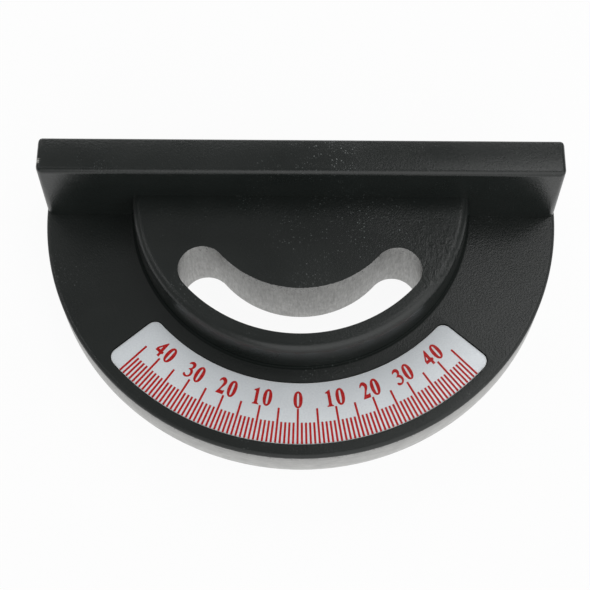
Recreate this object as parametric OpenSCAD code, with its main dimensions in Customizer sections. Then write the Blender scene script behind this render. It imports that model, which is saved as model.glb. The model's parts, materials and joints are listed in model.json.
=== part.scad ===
// Head of a miter gauge: one black painted casting with a half-round plate, a raised
// boss with a curved clamp slot and an upright fence, and a thin angle scale let into
// the plate. All sizes are in millimetres and all angles in degrees.
// The origin is on the pivot axis, which is also the centre of every arc, at the
// underside. The fence runs along X, its working face looks along +Y, and +Z is up.

/* [Half-round plate] */
// Radius of the rim at the underside
head_r = 63.5; // [62:0.1:72]
// Thickness of the plate
plate_t = 10.4; // [7:0.1:14]
// Draft of the rim
rim_draft = 2; // [0.5:0.1:3]
// Rounding of the rim's top edge
rim_round = 1; // [0.3:0.1:2]

/* [Boss] */
// Radius of the boss where it leaves the plate
boss_r = 41.3; // [39.5:0.1:43.5]
// Height of the boss above the plate
boss_h = 10.4; // [5:0.1:14]
// Draft of the boss's wall
boss_draft = 3.5; // [0.5:0.1:5]
// Rounding of the boss's top edge
boss_round = 2.2; // [0.5:0.1:2.8]
// Fillet where the boss and the fence rise from the plate
foot_fillet = 0.6; // [0.2:0.1:1]

/* [Fence] */
// Height of the fence above the plate
fence_h = 22.3; // [17:0.1:30]
// Distance from the pivot axis back to the working face
fence_back = 7.6; // [6:0.1:14]
// Distance from the pivot axis forward to the fence's front, at the plate
fence_front = 1.6; // [0:0.1:4]
// Draft of the fence's front
fence_draft = 1; // [0.5:0.1:3]
// Draft of the fence's two ends
end_draft = 3; // [0.5:0.1:5]
// Rounding of the fence's top edge along the front
fence_round = 1.3; // [0.4:0.1:2]
// Rounding of the fence's top edge along the back
back_round = 0.5; // [0.2:0.1:1]
// Rounding of the fence's top edge at the two ends
end_round = 1; // [0.3:0.1:2]
// Rounding of the two upright corners at the front
corner_round = 1.6; // [0.4:0.1:3]

/* [Clamp slot] */
// Radius of the slot's centre line
slot_r = 30.8; // [29.5:0.1:31.5]
// Width of the slot at the top of the boss
slot_w = 11.3; // [8:0.1:12.5]
// Angle from the middle of the slot to the centre of its round end
slot_half_angle = 48.7; // [30:0.1:52]
// Draft of the slot, which widens downwards
slot_draft = 1.2; // [0.2:0.1:1.5]

/* [Pivot hole] */
// Radius of the blind hole for the pivot screw, before its thread is cut
pivot_hole_r = 2.5; // [2:0.05:3.4]
// Depth of the pivot hole
pivot_hole_depth = 14; // [8:0.5:16]

/* [Scale plate] */
// Land left between the scale plate and the underside's rim radius
scale_land = 3.55; // [3:0.05:5]
// Width of the scale plate, from its inner to its outer arc
scale_w = 14.85; // [12:0.05:15.5]
// Thickness of the scale plate
scale_t = 0.45; // [0.3:0.05:0.7]
// Angle from the last graduation to the end of the scale plate
scale_end_angle = 4.7; // [2.5:0.1:8]
// Rounding of the scale plate's four corners
scale_corner = 2.3; // [0.5:0.1:4]
// Depth of the recess that takes the scale plate
recess_depth = 0.8; // [0.75:0.05:1.5]
// Clearance between the scale plate's edge and the wall of its recess
recess_gap = 0.3; // [0.1:0.05:0.5]

/* [Graduations] */
// Angle from the zero to the last graduation
mark_span = 45; // [30:5:45]
// Angle between neighbouring graduations
mark_pitch = 1; // [1:1:5]
// Angle between the long graduations
long_pitch = 5; // [5:5:15]
// Width of a graduation line
mark_w = 0.46; // [0.2:0.02:0.6]
// Length of a short graduation
short_len = 5.2; // [2:0.1:7]
// Length of a long graduation
long_len = 8.4; // [4:0.1:10]
// Thickness of the printed ink
mark_t = 0.04; // [0.02:0.01:0.1]
// Margin between a graduation's outer end and the scale plate's edge
mark_margin = 0.05; // [0.02:0.01:0.5]

/* [Hidden] */
$fn = 180;
// Cuts run this far past the faces that they open
over = 1;
// Steps along a long arc, round a slot's end and round a small corner
arc_steps = 32;
end_steps = 16;
corner_steps = 8;
// Slope of a drill's point, and its blunt tip as a share of the hole's radius
drill_slope = 31;
drill_tip = 0.1;
boss_top = plate_t + boss_h;
fence_top = plate_t + fence_h;
scale_r_out = head_r - scale_land;
scale_r_in = scale_r_out - scale_w;
recess_floor = plate_t - recess_depth;
scale_half_angle = mark_span + scale_end_angle;
scale_top = recess_floor + scale_t;
// How far each draft draws its wall in over the height of the fence
front_lean = fence_h * tan(fence_draft);
end_lean = fence_h * tan(end_draft);
end_x = head_r - plate_t * tan(end_draft);

// Points along an arc, both ends included
function arc(centre, radius, from, to, steps = corner_steps) = [
  for (i = [0 : steps])
    let (angle = from + (to - from) * i / steps)
    centre + radius * [cos(angle), sin(angle)]
];

// Rounded edge between a drafted wall and the flat above it. foot is the wall's place
// at the height z_low.
function edge_points(foot, z_low, z_high, draft, edge) =
  let (edge_z = z_high - edge)
  arc([foot - (edge_z - z_low) * tan(draft) - edge / cos(draft), edge_z], edge, draft, 90);

// Fillet between a floor at z_low and the drafted wall that rises from it
function foot_points(foot, z_low, draft, fillet) =
  arc([foot + fillet / cos(draft) - fillet * tan(draft), z_low + fillet], fillet, 270, 180 + draft);

// Arc whose first and last facets run on past its ends, so that they cross the two
// faces that it rounds
function run_on(points) =
  let (last = len(points) - 1)
  concat(
    [2 * points[0] - points[1]],
    [for (i = [1 : last - 1]) points[i]],
    [2 * points[last] - points[last - 1]]
  );

// What lies in front of the pivot axis, which is where a half disc is kept
module front_half() {
  reach = 2 * head_r;
  translate([-reach, -reach, -over]) cube([2 * reach, reach, fence_top + 2 * over]);
}

// Half-round plate with its drafted rim
module half_plate() {
  intersection() {
    rotate_extrude()
      polygon(concat(
        [[0, 0], [head_r, 0]],
        edge_points(head_r, 0, plate_t, rim_draft, rim_round),
        [[0, plate_t]]
      ));
    front_half();
  }
}

// Raised half-round boss that the clamp knob bears on
module boss() {
  root_z = plate_t - over;
  root_r = boss_r - foot_fillet;
  intersection() {
    rotate_extrude()
      polygon(concat(
        [[0, root_z], [root_r, root_z], [root_r, plate_t]],
        foot_points(boss_r, plate_t, boss_draft, foot_fillet),
        edge_points(boss_r, plate_t, boss_top, boss_draft, boss_round),
        [[0, boss_top]]
      ));
    front_half();
  }
}

// Fence seen from its end, with its front towards +X: a flat working face at the
// back and a drafted front
module fence_side_section() {
  front_at_base = fence_front + plate_t * tan(fence_draft);
  polygon(concat(
    [[-fence_back, 0], [front_at_base, 0]],
    edge_points(front_at_base, 0, fence_top, fence_draft, fence_round),
    arc([back_round - fence_back, fence_top - back_round], back_round, 90, 180)
  ));
}

// Fence seen from the front, tapering towards its top
module fence_front_section() {
  right = concat([[head_r, 0]], edge_points(head_r, 0, fence_top, end_draft, end_round));
  left = [for (i = [len(right) - 1 : -1 : 0]) [-right[i].x, right[i].y]];
  polygon(concat(right, left));
}

// Waste outside the rounding of the upright corner on the right. The rounding
// follows the corner's own line, which leans in and back with the two drafts, and
// its first and last facets run on through the fence's faces.
module corner_waste() {
  edge_tilt = atan(front_lean / norm([end_lean, fence_h]));
  edge_lean = atan(end_lean / fence_h);
  rounding = run_on(arc([-corner_round, corner_round], corner_round, 0, -90));
  end_y = rounding[0].y;
  front_x = rounding[len(rounding) - 1].x;
  translate([end_x, -fence_front, plate_t])
    rotate([-edge_tilt, -edge_lean, 0])
      linear_extrude(height = fence_h + over)
        polygon(concat(rounding, [[front_x, -over], [over, -over], [over, end_y]]));
}

// Upright fence across the back of the head, down to the underside. The rim carries
// its corners up to the top of the plate.
module fence() {
  difference() {
    intersection() {
      rotate([90, 0, -90]) linear_extrude(height = 2 * head_r + over, center = true) fence_side_section();
      rotate([90, 0, 0]) linear_extrude(height = 4 * fence_back, center = true) fence_front_section();
    }
    corner_waste();
    mirror([1, 0, 0]) corner_waste();
  }
}

// Fillet along a straight foot of the fence, with its root sunk in what it joins
module straight_foot(face, floor_z, length) {
  root = [face - foot_fillet, floor_z - foot_fillet];
  rotate([90, 0, -90])
    linear_extrude(height = length, center = true)
      polygon(concat([root], run_on(foot_points(face, floor_z, fence_draft, foot_fillet))));
}

// Fillets along the foot of the fence, on the plate and on the boss
module fence_foot() {
  boss_half = boss_r - boss_h * tan(boss_draft) - boss_round;
  straight_foot(fence_front, plate_t, 2 * (end_x - corner_round));
  straight_foot(fence_front - boss_h * tan(fence_draft), boss_top, 2 * boss_half);
}

// Outline of the clamp slot where it is half_w wide each way from its centre line
function slot_outline(half_w) =
  let (
    right_end = slot_half_angle - 90,
    left_end = -slot_half_angle - 90,
    right_centre = slot_r * [cos(right_end), sin(right_end)],
    left_centre = slot_r * [cos(left_end), sin(left_end)],
    inner_arc = arc([0, 0], slot_r - half_w, left_end, right_end, arc_steps),
    outer_arc = arc([0, 0], slot_r + half_w, right_end, left_end, arc_steps)
  )
  concat(
    [for (i = [1 : arc_steps - 1]) inner_arc[i]],
    arc(right_centre, half_w, right_end + 180, right_end, end_steps),
    [for (i = [1 : arc_steps - 1]) outer_arc[i]],
    arc(left_centre, half_w, left_end, left_end - 180, end_steps)
  );

// Curved clamp slot through boss and plate, a little wider at the underside
module clamp_slot() {
  low = -over;
  high = boss_top + over;
  bottom = slot_outline(slot_w / 2 + (boss_top - low) * tan(slot_draft));
  top = slot_outline(slot_w / 2 - over * tan(slot_draft));
  count = len(bottom);
  polyhedron(
    points = concat([for (p = bottom) [p.x, p.y, low]], [for (p = top) [p.x, p.y, high]]),
    faces = concat(
      [[for (i = [count - 1 : -1 : 0]) i]],
      [[for (i = [0 : count - 1]) count + i]],
      [for (i = [0 : count - 1])
        let (next = (i + 1) % count)
        [i, next, count + next, count + i]]
    )
  );
}

// Right half of the scale plate's outline, from the inner arc's middle to the outer
// arc's. grow moves every edge out square to itself.
function scale_half_outline(grow) =
  let (
    r_in = scale_r_in - grow,
    r_out = scale_r_out + grow,
    corner = scale_corner + grow,
    inner_end = scale_half_angle - 90 - asin(scale_corner / (r_in + corner)),
    outer_end = scale_half_angle - 90 - asin(scale_corner / (r_out - corner)),
    inner_centre = (r_in + corner) * [cos(inner_end), sin(inner_end)],
    outer_centre = (r_out - corner) * [cos(outer_end), sin(outer_end)],
    inner_arc = arc([0, 0], r_in, -90, inner_end, arc_steps),
    outer_arc = arc([0, 0], r_out, outer_end, -90, arc_steps)
  )
  concat(
    [for (i = [0 : arc_steps - 1]) inner_arc[i]],
    arc(inner_centre, corner, inner_end + 180, scale_half_angle),
    arc(outer_centre, corner, scale_half_angle, outer_end),
    [for (i = [1 : arc_steps]) outer_arc[i]]
  );

// Outline of the scale plate, or of its recess when grown by the clearance
module scale_outline(grow) {
  right = scale_half_outline(grow);
  left = [for (i = [len(right) - 2 : -1 : 1]) [-right[i].x, right[i].y]];
  polygon(concat(right, left));
}

// Blind hole on the pivot axis, drilled from the underside with a cone at its end
module pivot_hole() {
  tip_r = pivot_hole_r * drill_tip;
  translate([0, 0, -over]) cylinder(r = pivot_hole_r, h = pivot_hole_depth + over);
  translate([0, 0, pivot_hole_depth])
    cylinder(r1 = pivot_hole_r, r2 = tip_r, h = (pivot_hole_r - tip_r) * tan(drill_slope));
}

// The whole casting: plate, boss and fence in one piece, with its slot and recess
module gauge_head() {
  color("#2c2f2f")
    difference() {
      union() {
        half_plate();
        boss();
        fence();
        fence_foot();
      }
      clamp_slot();
      pivot_hole();
      translate([0, 0, recess_floor])
        linear_extrude(height = recess_depth + over) scale_outline(recess_gap);
    }
}

// Thin aluminium scale lying on the floor of its recess
module scale_plate() {
  color("#c9d2d8")
    translate([0, 0, recess_floor]) linear_extrude(height = scale_t) scale_outline(0);
}

// One printed graduation at the middle of the scale
module mark(length) {
  translate([-mark_w / 2, -scale_r_out + mark_margin, scale_top])
    cube([mark_w, length - mark_margin, mark_t]);
}

// All the graduations, every one a separate line of ink on the scale plate
module scale_marks() {
  color("#9a1c1c")
    for (angle = [-mark_span : mark_pitch : mark_span])
      rotate([0, 0, angle]) mark(angle % long_pitch == 0 ? long_len : short_len);
}

gauge_head();
scale_plate();
scale_marks();
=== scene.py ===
# %% [markdown]
# The head of a miter gauge: a black painted casting that slides on a machine's
# table, with a printed angle scale let into it. The casting, the thin scale plate
# and its graduations are already there as exact solids, in one shared frame. This
# script gives each of them the surface of the real one, and sets the camera and the
# light of a plain product picture.

# %% Load the exact solids and keep their box
import json
import math
import bmesh
import bpy
from mathutils import Matrix, Vector

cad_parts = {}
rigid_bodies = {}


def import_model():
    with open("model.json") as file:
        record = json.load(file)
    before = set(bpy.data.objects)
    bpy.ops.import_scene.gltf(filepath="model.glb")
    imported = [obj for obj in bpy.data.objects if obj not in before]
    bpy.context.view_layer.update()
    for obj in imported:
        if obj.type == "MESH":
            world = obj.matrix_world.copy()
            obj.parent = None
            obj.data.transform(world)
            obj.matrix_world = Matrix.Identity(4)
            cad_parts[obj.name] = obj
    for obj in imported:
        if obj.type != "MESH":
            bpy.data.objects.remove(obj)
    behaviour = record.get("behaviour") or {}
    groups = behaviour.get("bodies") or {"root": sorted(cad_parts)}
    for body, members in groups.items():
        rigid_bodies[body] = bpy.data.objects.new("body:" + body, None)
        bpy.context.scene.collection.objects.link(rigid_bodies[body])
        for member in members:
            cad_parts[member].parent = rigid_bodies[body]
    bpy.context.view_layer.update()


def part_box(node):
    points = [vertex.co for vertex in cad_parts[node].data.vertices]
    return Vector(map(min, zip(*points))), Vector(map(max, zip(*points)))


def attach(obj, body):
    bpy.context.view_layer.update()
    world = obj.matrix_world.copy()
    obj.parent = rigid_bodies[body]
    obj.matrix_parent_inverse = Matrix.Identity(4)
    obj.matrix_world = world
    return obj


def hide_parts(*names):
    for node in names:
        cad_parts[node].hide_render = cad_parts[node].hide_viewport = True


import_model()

MM = 0.001
HEAD_LOW, HEAD_HIGH = (Vector(corner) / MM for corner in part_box("gauge_head"))
PLATE_LOW, PLATE_HIGH = (Vector(corner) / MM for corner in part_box("scale_plate"))
print("head, mm:", [round(v, 2) for v in (*HEAD_LOW, *HEAD_HIGH)])
print("scale plate, mm:", [round(v, 2) for v in (*PLATE_LOW, *PLATE_HIGH)])

# %% [markdown]
# Everything is measured from the pivot axis, which is the centre of every arc of
# this casting. The overall sizes come from the solids. The rest are the sizes of the
# drawing: what a maker would read off it before starting.

# %% Sizes of the drawing, in millimetres and degrees
RIM_R = HEAD_HIGH.x
FENCE_TOP = HEAD_HIGH.z
FENCE_BACK = HEAD_HIGH.y
PLATE_T = 10.4
RIM_DRAFT = 2.0
RIM_ROUND = 1.0
BOSS_R = 41.3
BOSS_TOP = 20.8
BOSS_DRAFT = 3.5
BOSS_ROUND = 2.2
FOOT_FILLET = 0.6
BOSS_FOOT_FILLET = 0.3
FENCE_FRONT = 1.6
FENCE_DRAFT = 1.0
END_DRAFT = 3.0
FENCE_ROUND = 1.3
BACK_ROUND = 0.5
END_ROUND = 1.0
CORNER_ROUND = 1.6
SLOT_R = 30.8
SLOT_W = 11.3
SLOT_HALF_ANGLE = 48.7
SLOT_DRAFT = 1.2
HOLE_R = 2.5
HOLE_DEPTH = 14.0
SCALE_R_OUT = 59.95
SCALE_R_IN = 45.1
SCALE_HALF_ANGLE = 49.7
SCALE_CORNER = 2.3
RECESS_FLOOR = 9.6
RECESS_GAP = 0.12
SCALE_T = PLATE_HIGH.z - PLATE_LOW.z


def slope(angle):
    """How far a wall leans over one millimetre of its height."""
    return math.tan(math.radians(angle))


print("boss stands", round(BOSS_TOP - PLATE_T, 2), "mm above the plate")

# %% [markdown]
# An operator acts on all that is selected, so every step starts from nothing
# selected. These few helpers do what a hand does in the window: clear the selection,
# step into a mesh, pick vertices, edges or faces by where they are, and step out.

# %% Hand tools
def clear_selection():
    if bpy.context.mode != "OBJECT":
        bpy.ops.object.mode_set(mode="OBJECT")
    bpy.ops.object.select_all(action="DESELECT")


def take(piece):
    """Make one piece the only one in hand."""
    clear_selection()
    piece.select_set(True)
    bpy.context.view_layer.objects.active = piece
    return piece


def pick(piece, kind, wanted):
    """Enter edit mode and select the vertices, edges or faces that are wanted."""
    if bpy.context.mode != "EDIT_MESH":
        take(piece)
        bpy.ops.object.mode_set(mode="EDIT")
    bpy.ops.mesh.select_mode(type={"verts": "VERT", "edges": "EDGE", "faces": "FACE"}[kind])
    bpy.ops.mesh.select_all(action="DESELECT")
    mesh = bmesh.from_edit_mesh(piece.data)
    count = 0
    for element in getattr(mesh, kind):
        if wanted(element):
            element.select_set(True)
            count += 1
    mesh.select_flush_mode()
    bmesh.update_edit_mesh(piece.data)
    return count


def middle(element):
    """Middle of an edge or a face, in millimetres."""
    return sum((v.co for v in element.verts), Vector()) / len(element.verts) / MM


def is_border(edge, z):
    """True for an edge between a flat face at this height and a wall."""
    flat = [abs(face.normal.z) > 0.99 for face in edge.link_faces]
    return flat.count(True) == 1 and abs(middle(edge).z - z) < 0.01


def apply_modifiers(piece):
    take(piece)
    for modifier in list(piece.modifiers):
        bpy.ops.object.modifier_apply(modifier=modifier.name)


def combine(piece, other, operation):
    """Weld another piece on, or cut it away, and throw the other one out."""
    modifier = piece.modifiers.new(operation.title(), "BOOLEAN")
    modifier.operation = operation
    modifier.object = other
    modifier.solver = "EXACT"
    apply_modifiers(piece)
    take(other)
    bpy.ops.object.delete()
    return piece


def turn_faces_out(piece):
    pick(piece, "verts", lambda vert: True)
    bpy.ops.mesh.remove_doubles(threshold=0.0005 * MM)
    bpy.ops.mesh.normals_make_consistent(inside=False)
    bpy.ops.object.mode_set(mode="OBJECT")


print("hand tools ready")

# %% [markdown]
# A pattern maker starts from a section: a closed outline drawn on paper. Here one
# vertex is placed and extruded from corner to corner, the outline is filled, and its
# corners are rounded by a vertex bevel. The same drawn section can then be spun about
# the pivot axis or pulled out straight.

# %% Drawing a section
def draw_section(name, corners, place):
    """Fill the outline through the corners. place turns a corner into a point."""
    clear_selection()
    bpy.ops.mesh.primitive_plane_add(size=MM, location=(0, 0, 0))
    piece = bpy.context.object
    piece.name = name
    bpy.ops.object.mode_set(mode="EDIT")
    bpy.ops.mesh.select_all(action="SELECT")
    bpy.ops.mesh.merge(type="CENTER")
    points = [Vector(place(*corner)) * MM for corner in corners]
    bpy.ops.transform.translate(value=points[0])
    for start, end in zip(points, points[1:]):
        bpy.ops.mesh.extrude_region_move(TRANSFORM_OT_translate={"value": end - start})
    bpy.ops.mesh.select_all(action="SELECT")
    bpy.ops.mesh.edge_face_add()
    return piece


def round_corner(piece, point, radius, segments):
    """Round one corner of a section."""
    at = Vector(point) * MM
    found = pick(piece, "verts", lambda vert: (vert.co - at).length < 0.01 * MM)
    bpy.ops.mesh.bevel(offset=radius * MM, offset_type="OFFSET", affect="VERTICES",
                       segments=segments, profile=0.5)
    return found


print("section tools ready")

# %% [markdown]
# Plate and boss are round about the pivot axis, so they are turned in one go from a
# half section, as a pattern maker turns them on a lathe. The corners of the section
# carry the rounded rim, the fillet at the foot of the boss and its soft top edge. A
# spin through half a turn gives the half-round body.

# %% Turn the plate and the boss
def in_side_plane(x, z):
    return (x, 0.0, z)


rim_top_r = RIM_R - PLATE_T * slope(RIM_DRAFT)
boss_top_r = BOSS_R - (BOSS_TOP - PLATE_T) * slope(BOSS_DRAFT)
body = draw_section("cast_head", [
    (0, 0), (RIM_R, 0), (rim_top_r, PLATE_T), (BOSS_R, PLATE_T), (boss_top_r, BOSS_TOP), (0, BOSS_TOP),
], in_side_plane)
round_corner(body, in_side_plane(rim_top_r, PLATE_T), RIM_ROUND, 8)
round_corner(body, in_side_plane(BOSS_R, PLATE_T), BOSS_FOOT_FILLET, 6)
round_corner(body, in_side_plane(boss_top_r, BOSS_TOP), BOSS_ROUND, 12)
bpy.ops.mesh.select_all(action="SELECT")
bpy.ops.mesh.spin(steps=240, angle=math.pi, center=(0, 0, 0), axis=(0, 0, 1))
turn_faces_out(body)
print("turned body:", len(body.data.polygons), "faces, y from",
      round(min(v.co.y for v in body.data.vertices) / MM, 2), "to",
      round(max(v.co.y for v in body.data.vertices) / MM, 2))

# %% [markdown]
# The fence is a bar across the back. Its working face stands square to the table,
# and the other faces lean in a little towards the top, the draft that lets a casting
# leave its mould. A cube is stretched to the bar, its top face is drawn in, and the
# edges get bevels of their own weight: one radius for each kind of edge.

# %% Build the fence
front_at_table = FENCE_FRONT + PLATE_T * slope(FENCE_DRAFT)
clear_selection()
bpy.ops.mesh.primitive_cube_add(size=1)
fence = bpy.context.object
fence.name = "fence"
bpy.ops.transform.resize(value=(2 * RIM_R * MM, (FENCE_BACK + front_at_table) * MM, FENCE_TOP * MM))
bpy.ops.transform.translate(value=(0, (FENCE_BACK - front_at_table) / 2 * MM, FENCE_TOP / 2 * MM))
bpy.ops.object.transform_apply(location=True, rotation=True, scale=True)


def is_top(element):
    return all(vert.co.z > (FENCE_TOP - 0.01) * MM for vert in element.verts)


pick(fence, "faces", is_top)
bpy.ops.transform.resize(value=(1 - FENCE_TOP * slope(END_DRAFT) / RIM_R, 1, 1))
pick(fence, "edges", lambda edge: is_top(edge) and middle(edge).y < 0)
bpy.ops.transform.translate(value=(0, FENCE_TOP * slope(FENCE_DRAFT) * MM, 0))

WIDEST_ROUND = 2.0


def weigh(wanted, radius):
    """Give some edges of the fence their radius, as a share of the widest one."""
    found = pick(fence, "edges", wanted)
    bpy.ops.transform.edge_bevelweight(value=radius / WIDEST_ROUND)
    return found


weigh(lambda e: is_top(e) and middle(e).y < FENCE_BACK - 2 and abs(middle(e).x) < 1, FENCE_ROUND)
weigh(lambda e: is_top(e) and middle(e).y > FENCE_BACK - 1, BACK_ROUND)
weigh(lambda e: is_top(e) and abs(middle(e).x) > 10, END_ROUND)
weigh(lambda e: not is_top(e) and middle(e).y < 0 and 10 < middle(e).z < 25, CORNER_ROUND)
weigh(lambda e: not is_top(e) and middle(e).y > 2 and 10 < middle(e).z < 25, END_ROUND)
bpy.ops.object.mode_set(mode="OBJECT")
bevel = fence.modifiers.new("Edges", "BEVEL")
bevel.limit_method = "WEIGHT"
bevel.width = WIDEST_ROUND * MM
bevel.segments = 8
apply_modifiers(fence)
combine(body, fence, "UNION")
print("with the fence:", len(body.data.polygons), "faces")

# %% [markdown]
# Where the fence rises from the plate there is a small fillet, while it meets the top
# of the boss in a crisp corner. A three-cornered stick with a hollow front is drawn in
# section, pulled out along the foot and welded on.

# %% Fillet at the foot of the fence
def foot_stick(name, face_y, floor_z, fillet, length):
    sunk = 0.2
    hollow = [(face_y + sunk, floor_z - sunk), (face_y - fillet, floor_z - sunk)]
    lean = fillet * slope(FENCE_DRAFT)
    for step in range(7):
        turn = math.radians(90 - 15 * step)
        hollow.append((face_y - fillet + fillet * math.cos(turn) + lean * step / 6,
                       floor_z + fillet - fillet * math.sin(turn)))
    hollow.append((face_y + sunk, floor_z + fillet))
    stick = draw_section(name, hollow, lambda y, z: (-length / 2, y, z))
    bpy.ops.mesh.select_all(action="SELECT")
    bpy.ops.mesh.extrude_region_move(TRANSFORM_OT_translate={"value": (length * MM, 0, 0)})
    turn_faces_out(stick)
    return stick


plate_foot = foot_stick("plate_foot", -FENCE_FRONT, PLATE_T, FOOT_FILLET,
                        2 * (RIM_R - PLATE_T * slope(END_DRAFT) - CORNER_ROUND))
combine(body, plate_foot, "UNION")
print("with its foot:", len(body.data.polygons), "faces")

# %% [markdown]
# The clamp slot is a curved hole right through. Its cutter is a wedge-sided bar spun
# along the centre line, with a cone at each end, because the slot opens a little
# towards the table.

# %% Cut the clamp slot
SLOT_LOW = -1.0
SLOT_HIGH = BOSS_TOP + 1.0
half_low = SLOT_W / 2 + (BOSS_TOP - SLOT_LOW) * slope(SLOT_DRAFT)
half_high = SLOT_W / 2 - (SLOT_HIGH - BOSS_TOP) * slope(SLOT_DRAFT)
start_turn = math.radians(-90 - SLOT_HALF_ANGLE)


def across_slot(r, z):
    return (r * math.cos(start_turn), r * math.sin(start_turn), z)


cutter = draw_section("slot_cutter", [
    (SLOT_R - half_low, SLOT_LOW), (SLOT_R + half_low, SLOT_LOW),
    (SLOT_R + half_high, SLOT_HIGH), (SLOT_R - half_high, SLOT_HIGH),
], across_slot)
bpy.ops.mesh.select_all(action="SELECT")
bpy.ops.mesh.spin(steps=96, angle=math.radians(-2 * SLOT_HALF_ANGLE), center=(0, 0, 0), axis=(0, 0, 1))
turn_faces_out(cutter)
combine(body, cutter, "DIFFERENCE")
for side in (-1, 1):
    clear_selection()
    angle = math.radians(side * SLOT_HALF_ANGLE - 90)
    bpy.ops.mesh.primitive_cone_add(
        vertices=96, radius1=half_low * MM, radius2=half_high * MM, depth=(SLOT_HIGH - SLOT_LOW) * MM,
        location=(SLOT_R * math.cos(angle) * MM, SLOT_R * math.sin(angle) * MM, (SLOT_HIGH + SLOT_LOW) / 2 * MM),
        rotation=(0, 0, angle))
    combine(body, bpy.context.object, "DIFFERENCE")
print("slotted:", len(body.data.polygons), "faces")

# %% [markdown]
# The scale plate and the recess that takes it are the same shape: a straight strip
# with rounded corners, bent to an arc about the pivot. One function makes both. The
# strip is cut across many times so that it bends smoothly, and the bend turns a
# straight end into one that points at the pivot, as the real ones do.

# %% A strip bent to an arc
def bent_strip(name, r_in, r_out, half_angle, corner, z_low, z_high, cuts=100):
    mid_r = (r_in + r_out) / 2
    length = 2 * mid_r * math.radians(half_angle)
    clear_selection()
    bpy.ops.mesh.primitive_cube_add(size=1)
    strip = bpy.context.object
    strip.name = name
    bpy.ops.transform.resize(value=(length * MM, (r_out - r_in) * MM, (z_high - z_low) * MM))
    bpy.ops.object.transform_apply(location=True, rotation=True, scale=True)
    pick(strip, "edges", lambda e: abs(e.verts[0].co.z - e.verts[1].co.z) > (z_high - z_low) * MM * 0.9)
    bpy.ops.mesh.bevel(offset=corner * MM, offset_type="OFFSET", affect="EDGES", segments=10, profile=0.5)
    for cut in range(1, cuts):
        bpy.ops.mesh.select_all(action="SELECT")
        bpy.ops.mesh.bisect(plane_co=((cut / cuts - 0.5) * length * MM, 0, 0), plane_no=(1, 0, 0))
    bpy.ops.object.mode_set(mode="OBJECT")
    bend = strip.modifiers.new("Bend", "SIMPLE_DEFORM")
    bend.deform_method = "BEND"
    bend.deform_axis = "Z"
    bend.angle = math.radians(2 * half_angle)
    apply_modifiers(strip)
    bpy.ops.transform.translate(value=(0, -mid_r * MM, (z_low + z_high) / 2 * MM))
    bpy.ops.object.transform_apply(location=True, rotation=True, scale=True)
    turn_faces_out(strip)
    return strip


def turn_about_pivot(piece, degrees):
    take(piece)
    piece.rotation_euler = (0, 0, math.radians(degrees))
    bpy.ops.object.transform_apply(location=True, rotation=True, scale=True)
    return piece


# Sighted along the fence, the scale and its recess are a quarter of a degree askew
SHEET_ASKEW = -0.25
recess = bent_strip("recess", SCALE_R_IN - RECESS_GAP, SCALE_R_OUT + RECESS_GAP,
                    SCALE_HALF_ANGLE + math.degrees(RECESS_GAP / SCALE_R_IN), SCALE_CORNER + RECESS_GAP,
                    RECESS_FLOOR, PLATE_T + 1)
turn_about_pivot(recess, SHEET_ASKEW)
combine(body, recess, "DIFFERENCE")
clear_selection()
bpy.ops.mesh.primitive_cylinder_add(vertices=64, radius=HOLE_R * MM, depth=2 * HOLE_DEPTH * MM)
combine(body, bpy.context.object, "DIFFERENCE")
turn_faces_out(body)
print("cut:", len(body.data.polygons), "faces")

# %% [markdown]
# The scale is printed on a thin sheet of aluminium, sheared to the same curved strip.
# A sheared edge is slightly rounded over, so it catches the light all round.

# %% Make the scale plate
scale = bent_strip("scale_sheet", SCALE_R_IN, SCALE_R_OUT, SCALE_HALF_ANGLE, SCALE_CORNER,
                   RECESS_FLOOR, RECESS_FLOOR + SCALE_T)
SHEARED_EDGE = 0.12
pick(scale, "edges", lambda e: is_border(e, RECESS_FLOOR + SCALE_T))
bpy.ops.mesh.bevel(offset=SHEARED_EDGE * MM, affect="EDGES", segments=3, profile=0.5)
bpy.ops.object.mode_set(mode="OBJECT")
print("scale plate:", len(scale.data.polygons), "faces")

# %% [markdown]
# The graduations are 91 printed lines, one a degree, with a longer one every five
# degrees. One short and one long line are modelled, with the blunt ends of a printed
# stroke, and copied round the arc.

# %% Print the graduations
INK_T = 0.03
LINE_W = 0.5
SHORT_LINE = 5.1
LONG_LINE = 8.45
LINE_SPAN = 45
LONG_LINE_EVERY = 5
TEN_LINES = 10
INK_Z = RECESS_FLOOR + SCALE_T


def printed_line(name, length):
    """A stroke lying on the scale at the front, its outer end at the plate's edge."""
    clear_selection()
    bpy.ops.mesh.primitive_cube_add(size=1)
    line = bpy.context.object
    line.name = name
    bpy.ops.transform.resize(value=(LINE_W * MM, length * MM, INK_T * MM))
    outer_end = -SCALE_R_OUT + SHEARED_EDGE
    bpy.ops.transform.translate(value=(0, (outer_end + length / 2) * MM, (INK_Z + INK_T / 2) * MM))
    bpy.ops.object.transform_apply(location=True, rotation=True, scale=True)
    pick(line, "edges", lambda e: abs(e.verts[0].co.z - e.verts[1].co.z) > INK_T * MM * 0.9)
    bpy.ops.mesh.bevel(offset=0.08 * MM, affect="EDGES", segments=2, profile=0.5)
    bpy.ops.object.mode_set(mode="OBJECT")
    return line


def turned_copy(source, degrees):
    """A copy with its own mesh, turned about the pivot axis."""
    take(source)
    bpy.ops.object.duplicate(linked=False)
    return turn_about_pivot(bpy.context.object, degrees)


def join(pieces, name):
    take(pieces[0])
    for piece in pieces[1:]:
        piece.select_set(True)
    if len(pieces) > 1:
        bpy.ops.object.join()
    pieces[0].name = name
    return pieces[0]


def throw_out(pieces):
    for piece in pieces:
        take(piece)
        bpy.ops.object.delete()


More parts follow.
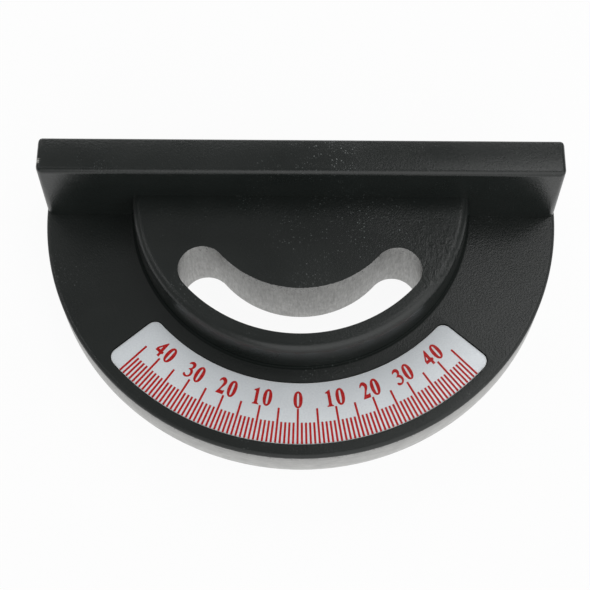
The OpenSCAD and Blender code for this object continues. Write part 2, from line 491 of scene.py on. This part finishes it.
short_line = printed_line("short_line", SHORT_LINE)
long_line = printed_line("long_line", LONG_LINE)
lines = [turned_copy(short_line if degree % LONG_LINE_EVERY else long_line, degree)
         for degree in range(-LINE_SPAN, LINE_SPAN + 1)]
throw_out([short_line, long_line])
print("graduations:", len(lines))
graduations = join(lines, "graduations")

# %% [markdown]
# The numbers are a bold, narrow letter with serifs. No font file is used: each digit
# is drawn as a closed outline of a few curve points, some of them corners and some of
# them smooth, and the curve is filled and made a mesh. The ink spread a little as it
# was pressed on, so the curve's offset makes every stroke a hair bolder. Only five
# digits are needed, because the scale counts 40 30 20 10 0 10 20 30 40.

# %% Draw the five digits
CORNER = "VECTOR"
SMOOTH = "AUTO"
INK_SPREAD = 0.045


def bent(bend, *points):
    """Curve points in millimetres from the middle of the digit's foot."""
    return [(x, y, bend) for x, y in points]


def oval(half_w, low, high, squareness, steps=12):
    """Closed round outline. Squareness 2 is an ellipse, and more has fuller shoulders."""
    points = []
    for step in range(steps):
        turn = 2 * math.pi * step / steps
        across = math.copysign(abs(math.cos(turn)) ** (2 / squareness), math.cos(turn))
        up = math.copysign(abs(math.sin(turn)) ** (2 / squareness), math.sin(turn))
        points.append((half_w * across, (low + high) / 2 + (high - low) / 2 * up))
    return bent(SMOOTH, *points)


def draw_digit(name, outlines):
    """Fill closed outlines and make them a mesh as thick as the ink."""
    clear_selection()
    bpy.ops.curve.primitive_bezier_circle_add(radius=MM)
    digit = bpy.context.object
    digit.name = name
    drawing = digit.data
    drawing.dimensions = "2D"
    drawing.fill_mode = "BOTH"
    drawing.resolution_u = 5
    drawing.extrude = INK_T / 2 * MM
    drawing.offset = INK_SPREAD * MM
    drawing.splines.clear()
    for outline in outlines:
        spline = drawing.splines.new("BEZIER")
        spline.bezier_points.add(len(outline) - 1)
        for point, (x, y, bend) in zip(spline.bezier_points, outline):
            point.co = (x * MM, y * MM, 0)
        for point, (x, y, bend) in zip(spline.bezier_points, outline):
            point.handle_left_type = bend
            point.handle_right_type = bend
        spline.use_cyclic_u = True
    bpy.ops.object.convert(target="MESH")
    turn_faces_out(bpy.context.object)
    return bpy.context.object


digits = {
    "0": draw_digit("digit_0", [
        oval(1.04, 0.0, 4.08, 2.1),
        oval(0.3, 0.36, 3.66, 2.7),
    ]),
    "1": draw_digit("digit_1", [bent(
        CORNER, (-0.64, 0.0), (0.82, 0.0), (0.82, 0.14), (0.56, 0.26), (0.44, 0.55), (0.43, 4.04),
        (0.28, 4.0), (-0.68, 3.47), (-0.64, 3.28), (-0.3, 3.26), (-0.22, 3.05), (-0.22, 0.55),
        (-0.34, 0.26), (-0.64, 0.14))]),
    "2": draw_digit("digit_2", [
        bent(CORNER, (-0.82, 0.0), (0.9, 0.0), (1.04, 0.98), (0.9, 0.98))
        + bent(SMOOTH, (0.74, 0.86), (0.5, 0.84))
        + bent(CORNER, (0.0, 0.84))
        + bent(SMOOTH, (0.32, 1.6), (0.7, 2.25), (0.93, 3.0), (0.7, 3.66), (0.04, 4.06), (-0.52, 3.78))
        + bent(CORNER, (-0.88, 3.02), (-0.74, 2.94))
        + bent(SMOOTH, (-0.58, 3.18), (-0.3, 3.36), (0.06, 3.2), (0.22, 2.72), (0.1, 2.1), (-0.28, 1.1))]),
    "3": draw_digit("digit_3", [
        bent(CORNER, (-0.8, 3.26))
        + bent(SMOOTH, (-0.52, 3.76), (0.08, 4.06), (0.72, 3.74), (0.87, 3.15), (0.74, 2.68))
        + bent(CORNER, (0.5, 2.36))
        + bent(SMOOTH, (0.86, 1.98), (1.02, 1.3), (0.76, 0.5), (0.05, 0.0), (-0.64, 0.06), (-0.9, 0.42),
               (-0.74, 0.73), (-0.4, 0.52), (0.02, 0.36), (0.42, 0.66), (0.5, 1.3), (0.22, 1.84))
        + bent(CORNER, (-0.3, 2.06), (-0.28, 2.16))
        + bent(SMOOTH, (0.1, 2.4), (0.28, 2.88), (0.16, 3.26), (-0.16, 3.42), (-0.46, 3.32))
        + bent(CORNER, (-0.7, 3.2))]),
    "4": draw_digit("digit_4", [
        bent(CORNER, (0.14, 0.02), (0.7, 0.02), (0.7, 0.95), (1.02, 1.0), (1.02, 1.52), (0.66, 1.58),
             (0.62, 4.0), (0.42, 4.04), (-1.0, 1.68), (-1.0, 0.94), (0.14, 0.94)),
        bent(CORNER, (-0.64, 1.6), (-0.02, 1.6), (-0.02, 2.82))]),
}
print("digits drawn:", sorted(digits))

# %% [markdown]
# A number stands at the inner end of its line, with its foot just clear of the line's
# tip and its head towards the pivot. It is put together upright at the front of the
# scale and then turned about the pivot axis to its own line.

# %% Print the numbers
NUMBER_FOOT_R = 51.25
TENS_X = -1.3
ONES_X = 1.38


def placed_digit(figure, x):
    """A copy of a digit at the front of the scale, with its middle at x."""
    take(digits[figure])
    bpy.ops.object.duplicate(linked=False)
    copy = bpy.context.object
    bpy.ops.transform.translate(value=(x * MM, -NUMBER_FOOT_R * MM, (INK_Z + INK_T / 2) * MM))
    bpy.ops.object.transform_apply(location=True, rotation=True, scale=True)
    return copy


def printed_number(degree):
    figures = str(abs(degree))
    places = (0,) if len(figures) == 1 else (TENS_X, ONES_X)
    parts = [placed_digit(figure, x) for figure, x in zip(figures, places)]
    return turn_about_pivot(join(parts, "number"), degree)


numbers = [printed_number(degree) for degree in range(-40, 41, TEN_LINES)]
throw_out(digits.values())
print("numbers:", len(numbers))
numerals = join(numbers, "numerals")

# %% [markdown]
# The scale does not lie quite true to the fence, as the recess was cut for it. The
# sheet and its print are turned about the pivot axis by the same quarter of a degree.

# %% Lay the sheet in its recess
for piece in (scale, graduations, numerals):
    turn_about_pivot(piece, SHEET_ASKEW)
print("sheet and print turned by", SHEET_ASKEW, "degrees")

# %% [markdown]
# Every finish below is a small net of nodes. These helpers keep each net short to
# read: one adds a node and fills its sockets, one joins two sockets, and one makes a
# mask that goes from black to white between two values. All patterns sit on Object
# coordinates, which here are metres from the pivot axis, so a scale of 1000 on a
# noise means features of about a millimetre.

# %% Node tools
def new_material(name):
    material = bpy.data.materials.new(name)
    material.use_nodes = True
    return material


def add_node(material, kind, values=None, **settings):
    """Add one node, set its properties, and fill its sockets with values or links."""
    node = material.node_tree.nodes.new(kind)
    for setting, value in settings.items():
        setattr(node, setting, value)
    for socket, value in (values or {}).items():
        if isinstance(value, bpy.types.NodeSocket):
            material.node_tree.links.new(value, node.inputs[socket])
        else:
            node.inputs[socket].default_value = value
    return node


def coordinates(material, stretch=(1, 1, 1)):
    """Object coordinates, squeezed along an axis where its stretch is under one."""
    place = add_node(material, "ShaderNodeTexCoord").outputs["Object"]
    return add_node(material, "ShaderNodeMapping", {"Vector": place, "Scale": stretch}).outputs["Vector"]


def noise(material, vector, scale, detail=3.0, roughness=0.55, distortion=0.0):
    return add_node(material, "ShaderNodeTexNoise", {
        "Vector": vector, "Scale": scale, "Detail": detail,
        "Roughness": roughness, "Distortion": distortion}).outputs["Fac"]


def mask(material, value, low, high):
    """Black under the low value, white over the high one, and the reverse if swapped."""
    return add_node(material, "ShaderNodeMapRange", {
        "Value": value, "From Min": low, "From Max": high, "To Min": 0.0, "To Max": 1.0}).outputs["Result"]


def span(material, value, low, high):
    """Spread a noise, which mostly stays between 0.3 and 0.7, over a range."""
    return add_node(material, "ShaderNodeMapRange", {
        "Value": value, "From Min": 0.3, "From Max": 0.7, "To Min": low, "To Max": high}).outputs["Result"]


def calculate(material, operation, first, second=0.0):
    return add_node(material, "ShaderNodeMath", {0: first, 1: second}, operation=operation).outputs["Value"]


def mix(material, share, first, second):
    """Mix two colours, given as sockets or as red, green and blue."""
    colours = [value if isinstance(value, bpy.types.NodeSocket) else (*value, 1.0) for value in (first, second)]
    node = add_node(material, "ShaderNodeMix", {0: share, 6: colours[0], 7: colours[1]}, data_type="RGBA")
    return node.outputs[2]


def bump(material, height, depth_mm, normal=None):
    values = {"Height": height, "Distance": depth_mm * MM, "Strength": 1.0}
    if normal is not None:
        values["Normal"] = normal
    return add_node(material, "ShaderNodeBump", values).outputs["Normal"]


def principled(material, **sockets):
    """Fill the sockets of the material's own shader. A name's _ stands for a space."""
    shader = material.node_tree.nodes["Principled BSDF"]
    for name, value in sockets.items():
        socket = shader.inputs[name.replace("_", " ")]
        if isinstance(value, bpy.types.NodeSocket):
            material.node_tree.links.new(value, socket)
        else:
            socket.default_value = value
    return shader


print("node tools ready")

# %% [markdown]
# The casting wears one coat of black paint, satin and a little greenish, straight on
# the cast skin. Three sizes of unevenness make it look cast: a fine orange peel, the
# slow waves of the skin, and sparse hard grains under the paint, raised in the bump.
# The paint is also made lighter on each grain, a painted highlight for the bright
# specks where the grains catch the light. The grains are the centres of Voronoi cells,
# and they gather in a few patches. On the right of the boss the skin is wrinkled, and
# one top corner of the fence is chipped down to the metal. Such marks are placed by
# their distance from a point of the casting.

# %% Black paint
GRAIN_PATCHES = (
    (12.0, -9.0, 20.8, 13.0), (24.0, -9.0, 20.8, 9.0), (-1.5, -11.0, 20.8, 7.0), (6.0, 3.5, 32.7, 11.0))
WRINKLE_PATCH = (33.0, -18.0, 20.8, 11.0)
CHIPPED_CORNER = (-61.3, 1.6, 32.4, 1.7)


def patch(material, place, x, y, z, reach):
    """White at a point of the casting, fading to black at its reach. In millimetres."""
    away = add_node(material, "ShaderNodeVectorMath", {
        0: place, 1: (x * MM, y * MM, z * MM)}, operation="DISTANCE").outputs["Value"]
    return mask(material, away, reach * MM, 0.35 * reach * MM)


def paint_look(material):
    """Colour, roughness and bump of the black paint, ready for a shader."""
    place = coordinates(material)
    peel = noise(material, place, 2100, detail=3, roughness=0.6)
    skin = noise(material, place, 420, detail=3)
    clouds = noise(material, place, 45, detail=4)
    rough_patch = mask(material, noise(material, place, 38, detail=2), 0.42, 0.62)
    cells = add_node(material, "ShaderNodeTexVoronoi", {"Vector": place, "Scale": 1900.0, "Randomness": 1.0})
    gather = calculate(material, "MULTIPLY", mask(material, noise(material, place, 70, detail=3), 0.52, 0.66), 0.5)
    for x, y, z, reach in GRAIN_PATCHES:
        here = patch(material, place, x, y, z, reach)
        gather = calculate(material, "MAXIMUM", gather, calculate(material, "MULTIPLY", here, mask(
            material, noise(material, place, 260, detail=3), 0.38, 0.56)))
    grain = mask(material, cells.outputs["Distance"], 0.4, 0.15)
    chosen = mask(material, add_node(material, "ShaderNodeSeparateColor", {
        "Color": cells.outputs["Color"]}).outputs["Red"], 0.56, 1.0)
    grain_and_glint = calculate(material, "MULTIPLY", calculate(material, "MULTIPLY", grain, gather), chosen)
    colour = mix(material, span(material, clouds, 0.0, 1.0), (0.005, 0.0074, 0.0064), (0.0085, 0.0112, 0.0101))
    # Painted highlight: the paint is made lighter on each grain, standing in for the glints the grains catch.
    colour = mix(material, calculate(material, "MULTIPLY", grain_and_glint, 0.75), colour, (0.16, 0.18, 0.175))
    roughness = span(material, clouds, 0.25, 0.34)
    relief = calculate(material, "MULTIPLY", peel, calculate(material, "ADD", rough_patch, 0.9))
    folds = noise(material, coordinates(material, (1.4, 0.7, 1)), 560, detail=3, distortion=0.8)
    folds = calculate(material, "MULTIPLY", folds, patch(material, place, *WRINKLE_PATCH))
    normal = bump(material, skin, 0.02)
    normal = bump(material, folds, 0.26, normal)
    normal = bump(material, relief, 0.04, normal)
    normal = bump(material, grain_and_glint, 0.06, normal)
    return colour, roughness, normal


def chipped(material):
    """Ragged mask of the knocked corner of the fence, where bright metal shows."""
    place = coordinates(material)
    ragged = calculate(material, "ADD", patch(material, place, *CHIPPED_CORNER),
                       calculate(material, "MULTIPLY", noise(material, place, 1900, detail=4), 0.9))
    return mask(material, ragged, 1.38, 1.46)


def boss_corner(material):
    """White in the inside corner round the boss foot, where the paint's reflection is turned down as a painted
    shade.
    """
    from_axis = add_node(material, "ShaderNodeVectorMath", {
        0: coordinates(material, (1, 1, 0))}, operation="LENGTH").outputs["Value"]
    outside = mask(material, from_axis, (BOSS_R - 0.7) * MM, (BOSS_R - 0.3) * MM)
    inside = mask(material, from_axis, (BOSS_R + 1.0) * MM, (BOSS_R + 0.3) * MM)
    height = add_node(material, "ShaderNodeSeparateXYZ", {"Vector": coordinates(material)}).outputs["Z"]
    low = mask(material, height, (PLATE_T + 1.5) * MM, (PLATE_T + 0.4) * MM)
    return calculate(material, "MULTIPLY", calculate(material, "MULTIPLY", outside, inside), low)


paint = new_material("black_paint")
colour, roughness, normal = paint_look(paint)
chips = chipped(paint)
corner_shade = boss_corner(paint)
# Painted shade: in the inside corner round the boss foot the reflection is turned down and the paint made rougher.
principled(paint, Base_Color=mix(paint, chips, colour, (0.42, 0.42, 0.4)), Normal=normal,
           Roughness=calculate(paint, "ADD", roughness, calculate(paint, "MULTIPLY", corner_shade, 0.3)),
           Specular_IOR_Level=span(paint, corner_shade, 0.5, 0.12),
           Metallic=calculate(paint, "MULTIPLY", chips, 0.5))
print("black paint:", len(paint.node_tree.nodes), "nodes")

# %% [markdown]
# The rim and the walls of the slot were cleaned up after painting, so there the grey
# metal is bare. The slot was cut by a tool that stands upright, which leaves fine
# upright streaks: a noise squeezed along Z. The rim was ground on a belt, so its
# streaks run level. Towards a wall's top edge the paint comes over in a ragged line
# and leaves dark spots. Each wall is also painted darker towards its top and lighter
# towards the table: painted light, for the light thrown up by the white table.

# %% Bare metal of the walls
def bare_wall(name, paint_line, ragged, stretch, contrast, spots_reach):
    """Bare upright wall, painted above a ragged line. Heights in millimetres."""
    material = new_material(name)
    place = coordinates(material)
    streaks = noise(material, coordinates(material, stretch), 2100, detail=4, roughness=0.7)
    blotches = noise(material, place, 420, detail=4)
    height = add_node(material, "ShaderNodeSeparateXYZ", {"Vector": place}).outputs["Z"]
    colour = mix(material, span(material, blotches, 0.0, 1.0), (0.54, 0.54, 0.53), (0.64, 0.64, 0.625))
    # Painted light: the wall is darker towards its top and lighter towards the table, for the light bounced up
    # from it.
    painted_bounce_light = mask(material, height, paint_line * MM, 0.0)
    colour = mix(material, painted_bounce_light, mix(material, 0.5, colour, (0.2, 0.2, 0.195)), colour)
    colour = mix(material, span(material, streaks, 0.0, contrast), colour, (0.17, 0.17, 0.165))
    edge = noise(material, place, 900, detail=4, roughness=0.65)
    edge_height = span(material, edge, (paint_line - ragged) * MM, (paint_line + ragged) * MM)
    painted = mask(material, calculate(material, "SUBTRACT", height, edge_height), -0.00004, 0.00004)
    spots = mask(material, noise(material, place, 2200, detail=3), 0.57, 0.66)
    near_top = mask(material, height, (paint_line - spots_reach) * MM, (paint_line - 0.5) * MM)
    painted = calculate(material, "MAXIMUM", painted, calculate(material, "MULTIPLY", spots, near_top))
    paint_colour, paint_roughness, paint_normal = paint_look(material)
    colour = mix(material, painted, colour, paint_colour)
    metallic = calculate(material, "SUBTRACT", 0.6, calculate(material, "MULTIPLY", painted, 0.6))
    normal = bump(material, streaks, 0.012)
    normal = bump(material, blotches, 0.012, normal)
    principled(material, Base_Color=colour, Metallic=metallic, Roughness=span(material, streaks, 0.45, 0.6),
               Normal=normal)
    return material


UPRIGHT_STREAKS = (1, 1, 0.2)
LEVEL_STREAKS = (0.12, 0.12, 1)
rim_wall = bare_wall("bare_rim", PLATE_T - RIM_ROUND - 0.1, 0.12, LEVEL_STREAKS, 0.3, spots_reach=2.0)
slot_wall = bare_wall("bare_slot", BOSS_TOP - 0.15, 0.25, UPRIGHT_STREAKS, 0.42, spots_reach=6.5)
print("bare walls:", rim_wall.name, slot_wall.name)

# %% [markdown]
# The underside, which slides on the table, and the working face, which carries the
# workpiece, are ground flat. Grinding leaves long fine lines one way, along X here,
# so the noise is squeezed along X.

# %% Ground faces
ground = new_material("ground_face")
lines_noise = noise(ground, coordinates(ground, (0.015, 1, 1)), 3200, detail=4, roughness=0.7)
stain = noise(ground, coordinates(ground), 60, detail=5)
colour = mix(ground, span(ground, stain, 0.0, 1.0), (0.37, 0.37, 0.36), (0.45, 0.45, 0.44))
colour = mix(ground, span(ground, lines_noise, 0.0, 0.35), colour, (0.22, 0.22, 0.215))
principled(ground, Base_Color=colour, Metallic=0.85, Roughness=span(ground, lines_noise, 0.3, 0.45),
           Normal=bump(ground, lines_noise, 0.006))
print("ground faces:", len(ground.node_tree.nodes), "nodes")

# %% [markdown]
# The pivot hole keeps the bright skin of its drilling. The recess and the rest of the
# casting are painted. Faces are given their finish by where they are.

# %% Share out the finishes of the casting
SLOT_REACH = SLOT_W / 2 + 1.0
UPRIGHT = 0.2


def is_underside(face):
    return face.normal.z < -0.9 and middle(face).z < 0.01


def is_working_face(face):
    return middle(face).y > FENCE_BACK - 0.01


def is_rim_wall(face):
    centre = middle(face)
    outer = math.hypot(centre.x, centre.y) > RIM_R - 1.5
    return outer and centre.y < 0 and centre.z < PLATE_T - 0.1 and abs(face.normal.z) < 0.9


def is_slot_wall(face):
    centre = middle(face)
    inside = abs(math.hypot(centre.x, centre.y) - SLOT_R) < SLOT_REACH
    return inside and centre.y < -SLOT_REACH and abs(face.normal.z) < UPRIGHT


def is_pivot_hole(face):
    centre = middle(face)
    return math.hypot(centre.x, centre.y) < HOLE_R + 0.1 and 0 < centre.z < HOLE_DEPTH + 0.1


body.data.materials.clear()
for finish in (paint, rim_wall, slot_wall, ground):
    body.data.materials.append(finish)
for number, wanted in ((1, is_rim_wall), (2, is_slot_wall), (3, is_underside), (3, is_working_face),
                       (3, is_pivot_hole)):
    found = pick(body, "faces", wanted)
    body.active_material_index = number
    bpy.ops.object.material_slot_assign()
    bpy.ops.object.mode_set(mode="OBJECT")
    print(wanted.__name__, "faces:", found)
take(body)
bpy.ops.object.shade_smooth_by_angle(angle=math.radians(35))

# %% [markdown]
# The scale is thin aluminium with a clear satin skin: pale, a little blue, with a
# fine grain from the rolling. Its freshly sheared edge is bare metal, painted lighter
# than the skin, partly for that bare metal and partly as a painted highlight for the
# bright line the edge catches. The print is a thick red ink with a slight sheen, a
# little lighter where it is thin.

# %% Sheet and ink
sheet = new_material("satin_sheet")
grain = noise(sheet, coordinates(sheet), 2400, detail=3, roughness=0.7)
tone = noise(sheet, coordinates(sheet), 70, detail=4)
colour = mix(sheet, span(sheet, tone, 0.0, 1.0), (0.745, 0.785, 0.81), (0.815, 0.85, 0.875))
colour = mix(sheet, span(sheet, grain, 0.0, 0.6), colour, (0.64, 0.675, 0.705))
principled(sheet, Base_Color=colour, Metallic=0.15, Roughness=span(sheet, grain, 0.34, 0.46),
           Normal=bump(sheet, grain, 0.003))
ink = new_material("printed_red")
thick = noise(ink, coordinates(ink), 1500, detail=3)
colour = mix(ink, span(ink, thick, 0.0, 1.0), (0.4, 0.001, 0.001), (0.5, 0.002, 0.002))
principled(ink, Base_Color=colour, Roughness=span(ink, thick, 0.2, 0.3), Specular_IOR_Level=0.5,
           Normal=bump(ink, thick, 0.002))
# Partly painted highlight: the sheared edge is painted lighter than the sheet, for its bare metal and for the
# bright line it catches.
edge_metal_and_highlight = new_material("sheared_edge")
nicks = noise(edge_metal_and_highlight, coordinates(edge_metal_and_highlight), 2500, detail=4)
principled(edge_metal_and_highlight, Base_Color=mix(edge_metal_and_highlight, span(edge_metal_and_highlight, nicks, 0.0, 1.0), (0.86, 0.88, 0.88), (0.97, 0.97, 0.96)),
           Metallic=0.3, Roughness=span(edge_metal_and_highlight, nicks, 0.25, 0.4), Normal=bump(edge_metal_and_highlight, nicks, 0.004))
for piece, finish in ((scale, sheet), (graduations, ink), (numerals, ink)):
    piece.data.materials.clear()
    piece.data.materials.append(finish)
scale.data.materials.append(edge_metal_and_highlight)
found = pick(scale, "faces", lambda face: 0.05 < face.normal.z < 0.98)
scale.active_material_index = 1
bpy.ops.object.material_slot_assign()
bpy.ops.object.mode_set(mode="OBJECT")
print("faces of the sheared edge:", found)
take(scale)
bpy.ops.object.shade_smooth_by_angle(angle=math.radians(35))
print("sheet and ink:", sheet.name, ink.name)

# %% [markdown]
# Each piece rides on the one body and stands in for a node of the exact solids,
# which is hidden. The numbers have no solid of their own.

# %% Hang each piece on the body in place of its solid
for piece, node, material_slot in ((body, "gauge_head", "black_casting"),
                                   (scale, "scale_plate", "scale_aluminium"),
                                   (graduations, "scale_marks", "red_ink")):
    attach(piece, "root")
    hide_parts(node)
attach(numerals, "root")
print("pieces:", [piece.name for piece in (body, scale, graduations, numerals)])

# %% [markdown]
# The head lies on a plain white table, lit so brightly in the picture that the table
# is nearly pure white. Turning the lamps up would bleach the object too, so the table
# itself is made white for the camera and for mirror rays, with a thin share of real
# shading that keeps the object's shadow. To the light that bounces about it stays a
# plain pale table.

# %% White table
TABLE_SIZE = 6.0
clear_selection()
bpy.ops.mesh.primitive_plane_add(size=TABLE_SIZE, location=(0, 0, 0))
table = bpy.context.object
table.name = "table"
white = new_material("white_table")
principled(white, Base_Color=(0.85, 0.85, 0.85, 1), Roughness=0.8)
shaded = white.node_tree.nodes["Principled BSDF"].outputs[0]
glow = add_node(white, "ShaderNodeEmission", {"Color": (1, 1, 1, 1), "Strength": 1.0}).outputs[0]
path = add_node(white, "ShaderNodeLightPath").outputs
seen = calculate(white, "MAXIMUM", path["Is Camera Ray"],
                 calculate(white, "MAXIMUM", path["Is Glossy Ray"], path["Is Transmission Ray"]))
GLOW_SHARE = 0.93
share = calculate(white, "MULTIPLY", seen, GLOW_SHARE)
surface = add_node(white, "ShaderNodeMixShader", {0: share, 1: shaded, 2: glow}).outputs[0]
white.node_tree.links.new(surface, white.node_tree.nodes["Material Output"].inputs["Surface"])
table.data.materials.append(white)
print("table:", TABLE_SIZE, "m")

# %% [markdown]
# The light is a plain studio: an even pale world, which the camera alone sees as
# white, one soft lamp high on the right, whose reflection makes the paint there
# lighter than on the left, a narrow one on the left that draws a fine line of light
# along the rounded edges, a low wall of light behind the fence, and a very wide one
# in front that is too even to leave hard glints.

# %% World and lamps
world = bpy.data.worlds.new("studio")
bpy.context.scene.world = world
world.use_nodes = True
WORLD_LEVEL = 0.34
studio_light = world.node_tree.nodes["Background"]
studio_light.inputs["Color"].default_value = (1, 1, 1, 1)
studio_light.inputs["Strength"].default_value = WORLD_LEVEL
backdrop = add_node(world, "ShaderNodeBackground", {"Color": (1, 1, 1, 1), "Strength": 1.0}).outputs[0]
is_camera = add_node(world, "ShaderNodeLightPath").outputs["Is Camera Ray"]
sky = add_node(world, "ShaderNodeMixShader", {0: is_camera, 1: studio_light.outputs[0], 2: backdrop}).outputs[0]
world.node_tree.links.new(sky, world.node_tree.nodes["World Output"].inputs["Surface"])


def softbox(name, place, size, power, aim=(0, -0.02, 0)):
    """A rectangular lamp, in metres and watts, that looks at the object."""
    clear_selection()
    bpy.ops.object.light_add(type="AREA", location=place)
    lamp = bpy.context.object
    lamp.name = name
    lamp.data.name = name
    lamp.data.shape = "RECTANGLE"
    lamp.data.size, lamp.data.size_y = size
    lamp.data.energy = power
    lamp.rotation_euler = (Vector(aim) - Vector(place)).to_track_quat("-Z", "Y").to_euler()
    return lamp


softbox("right_softbox", (0.46, 0.18, 0.9), (0.45, 0.45), 1.3)
softbox("left_strip", (-0.74, 0.1, 0.86), (0.12, 0.5), 0.55)
softbox("back_softbox", (0.0, 1.1, 0.62), (1.8, 0.64), 7.8)
softbox("front_softbox", (0.75, -1.5, 1.1), (4.0, 2.2), 33.0)
print("lamps:", [lamp.name for lamp in bpy.data.lights])

# %% [markdown]
# The camera stands where the photographer's did: its place, aim and focal length
# were solved from the one-degree lines of the scale, and a hair of tilt with them.

# %% Camera
LENS_MM = 75.376
SENSOR_MM = 36.0
CAMERA_PLACE = Vector((0.758, -132.086, 289.162)) * MM
CAMERA_TARGET = Vector((-1.172, -22.763, 10.4)) * MM
CAMERA_ROLL = 0.5175
HALF_PIXEL = 0.5 / 590
clear_selection()
bpy.ops.object.camera_add(location=CAMERA_PLACE)
camera = bpy.context.object
camera.data.lens = LENS_MM
camera.data.sensor_width = SENSOR_MM
camera.data.clip_start = 0.01
camera.data.shift_y = -HALF_PIXEL
gaze = (CAMERA_TARGET - CAMERA_PLACE).to_track_quat("-Z", "Y").to_matrix()
roll = Matrix.Rotation(math.radians(-CAMERA_ROLL), 3, "Z")
camera.rotation_euler = (gaze @ roll).to_euler()
bpy.context.scene.camera = camera
bpy.context.scene.view_settings.view_transform = "Standard"
print("camera at", [round(v, 3) for v in camera.location])
